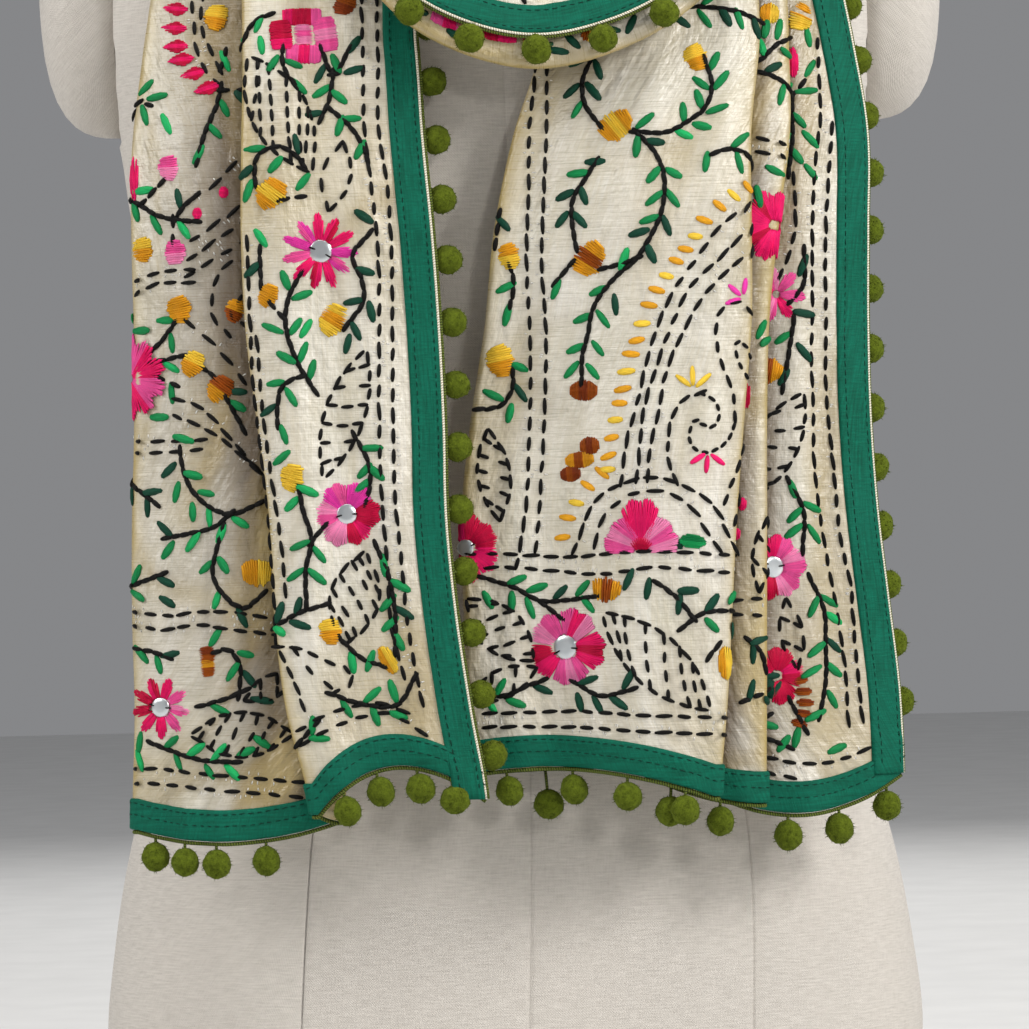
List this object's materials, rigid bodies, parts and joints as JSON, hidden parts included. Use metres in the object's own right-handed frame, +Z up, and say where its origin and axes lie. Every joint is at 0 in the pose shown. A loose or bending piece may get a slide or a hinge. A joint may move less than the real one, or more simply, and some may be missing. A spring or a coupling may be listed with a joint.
{
  "type": "embroidered stole on a limbless dress form",
  "caption": "Cream silk stole with floral running-stitch embroidery, green border tape and olive felt pompoms, wound round a linen-covered dress form.",
  "frame": {"origin": "middle of the dress form's flat underside", "axes": "+Z up, the wearer's front faces -Y, +X to the viewer's right"},
  "size_m": [0.4032, 0.3015, 0.7733],
  "materials": {
    "linen": "matte linen cover",
    "silk": "soft silk sheen",
    "border_tape": "slubby woven tape",
    "felt": "matte felt"
  },
  "bodies": {
    "root": {"form_torso": "linen", "form_cap_left": "linen", "form_cap_right": "linen", "form_neck_cap": "linen", "stole_left_end": "silk", "stole_right_end": "silk", "stole_cowl": "silk", "stole_neck_inner": "silk", "stole_neck_outer": "silk", "tape_left_side": "border_tape", "tape_left_hem": "border_tape", "tape_right_side": "border_tape", "tape_right_hem": "border_tape", "tape_cowl": "border_tape", "trim_left_side": "felt", "trim_left_hem": "felt", "trim_right_side": "felt", "trim_right_hem": "felt", "trim_cowl": "felt"}
  },
  "joints": []
}
